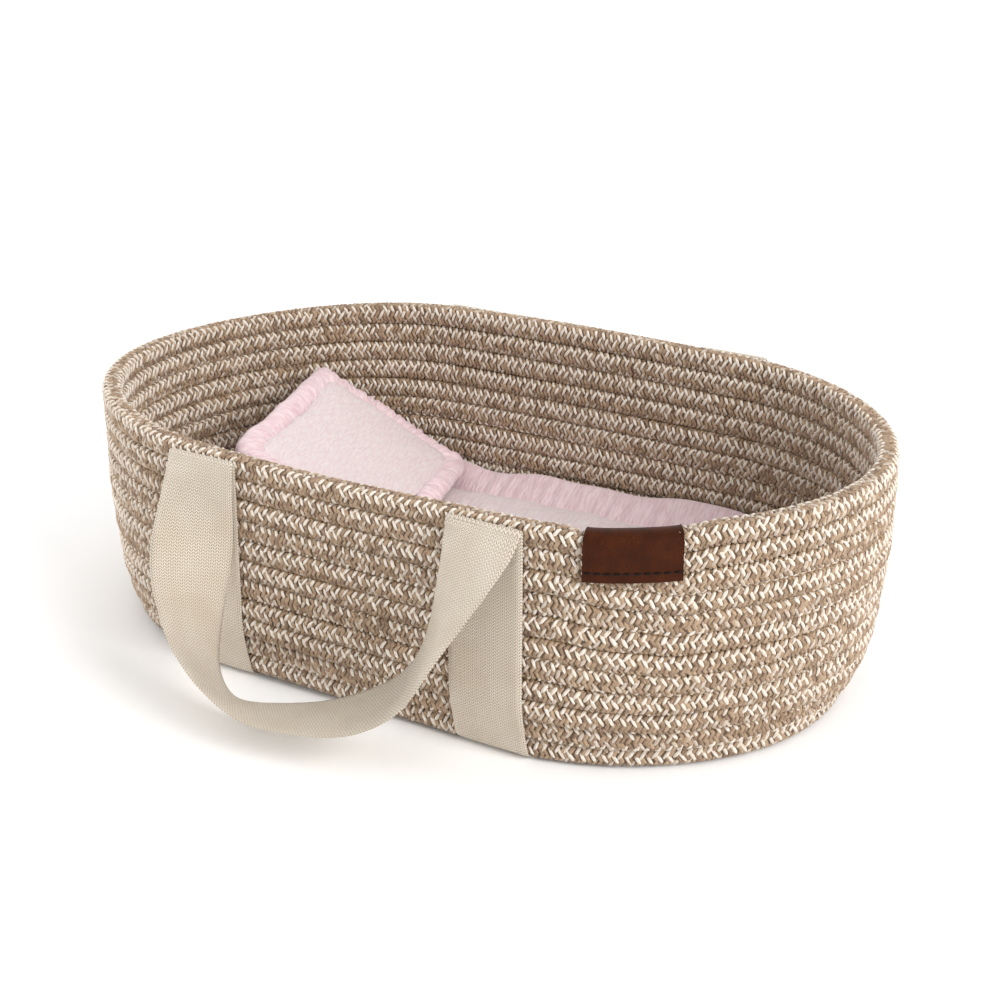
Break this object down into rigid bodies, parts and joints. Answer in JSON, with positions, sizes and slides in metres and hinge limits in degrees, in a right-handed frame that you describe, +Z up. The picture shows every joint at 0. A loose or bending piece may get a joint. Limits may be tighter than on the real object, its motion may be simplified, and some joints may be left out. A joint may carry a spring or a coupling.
{
  "type": "moses basket",
  "caption": "Oval moses basket of coiled sewn rope with webbing carry handles, a leather rim label, a mattress and a pillow, sized for a doll.",
  "frame": {"origin": "on the floor under the middle of the basket", "axes": "+Z up, +X along the basket towards the foot end, -Y towards the side with the leather label"},
  "size_m": [0.4384, 0.3878, 0.1336],
  "materials": {
    "rope": "braided cotton rope, tan with white strands, matt",
    "coil_thread": "tan sewing thread, matt",
    "webbing": "undyed cotton twill webbing, matt",
    "strap_thread": "cream sewing thread, matt",
    "leather": "dark brown, smooth, satin",
    "label_thread": "dark brown sewing thread, matt",
    "muslin": "crinkled double-layer cotton muslin, pale pink, matt",
    "filling": "white polyester wadding, matt"
  },
  "bodies": {
    "basket": {"back_leg_left": "webbing", "back_leg_right": "webbing", "back_stitches_left": "strap_thread", "back_stitches_right": "strap_thread", "base_row_00": "rope", "base_row_01": "rope", "base_row_02": "rope", "base_row_03": "rope", "base_row_04": "rope", "base_row_05": "rope", "base_row_06": "rope", "base_row_07": "rope", "base_row_08": "rope", "base_row_09": "rope", "base_row_10": "rope", "base_strap_left": "webbing", "base_strap_right": "webbing", "coil_thread": "coil_thread", "front_leg_left": "webbing", "front_leg_right": "webbing", "front_stitches_left": "strap_thread", "front_stitches_right": "strap_thread", "label_stitches": "label_thread", "leather_label": "leather", "wall_course_01": "rope", "wall_course_02": "rope", "wall_course_03": "rope", "wall_course_04": "rope", "wall_course_05": "rope", "wall_course_06": "rope", "wall_course_07": "rope", "wall_course_08": "rope", "wall_course_09": "rope", "wall_course_10": "rope", "wall_course_11": "rope"},
    "front_handle": {"front_handle": "webbing"},
    "back_handle": {"back_handle": "webbing"},
    "mattress": {"mattress_cover": "muslin", "mattress_filling": "filling"},
    "pillow": {"pillow_cover": "muslin", "pillow_filling": "filling"}
  },
  "joints": [
    {"name": "front_handle_swing", "type": "hinge", "parent": "basket", "child": "front_handle", "pos_m": [0, -0.1274, 0.118], "axis": [-1, 0, 0], "range_deg": [0, 140]},
    {"name": "back_handle_swing", "type": "hinge", "parent": "basket", "child": "back_handle", "pos_m": [0, 0.1274, 0.132], "axis": [1, 0, 0], "range_deg": [0, 140]},
    {"name": "mattress_lift", "type": "slide", "parent": "basket", "child": "mattress", "axis": [0, 0, 1], "range_m": [0, 0.16]},
    {"name": "pillow_lift", "type": "slide", "parent": "mattress", "child": "pillow", "axis": [0, 0, 1], "range_m": [0, 0.1]}
  ]
}
